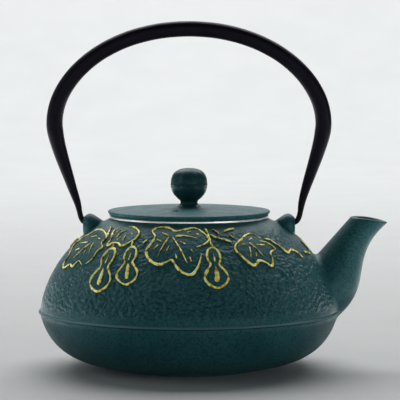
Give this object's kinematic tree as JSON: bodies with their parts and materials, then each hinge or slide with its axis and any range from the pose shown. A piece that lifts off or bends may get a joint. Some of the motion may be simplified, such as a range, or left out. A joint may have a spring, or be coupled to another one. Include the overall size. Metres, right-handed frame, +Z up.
{
  "type": "cast iron teapot",
  "caption": "Low round cast iron teapot with a raised vine ornament, curved spout, swinging bail handle, domed lid with ball knob, and steel infuser.",
  "frame": {"origin": "centre of the foot ring, in the plane the teapot stands on", "axes": "+Z up along the pot's axis, +X towards the spout, handle arch standing in the X-Z plane"},
  "size_m": [0.1985, 0.1714, 0.197],
  "materials": {
    "green_iron": "satin painted, pebbled above the seam",
    "gilt_relief": "worn gold paint",
    "green_lid": "satin painted",
    "green_knob": "satin painted",
    "infuser_steel": "brushed",
    "infuser_mesh": "perforated sheet",
    "screw_steel": "plain",
    "black_handle": "satin black"
  },
  "bodies": {
    "pot": {"pot_casting": "green_iron", "relief_lines": "gilt_relief"},
    "infuser": {"infuser_rim": "infuser_steel", "infuser_wall": "infuser_mesh", "infuser_base_band": "infuser_steel", "infuser_base": "infuser_mesh"},
    "lid": {"lid_casting": "green_lid", "lid_knob": "green_knob", "knob_screw": "screw_steel", "knob_washer": "screw_steel"},
    "handle": {"bail_handle": "black_handle"}
  },
  "joints": [
    {"name": "handle_swing", "type": "hinge", "parent": "pot", "child": "handle", "pos_m": [0, 0, 0.0824], "axis": [1, 0, 0], "range_deg": [-116, 116]},
    {"name": "infuser_lift", "type": "slide", "parent": "pot", "child": "infuser", "axis": [0, 0, 1], "range_m": [0, 0.065]},
    {"name": "lid_lift", "type": "slide", "parent": "infuser", "child": "lid", "axis": [0, 0, 1], "range_m": [0, 0.06]}
  ]
}
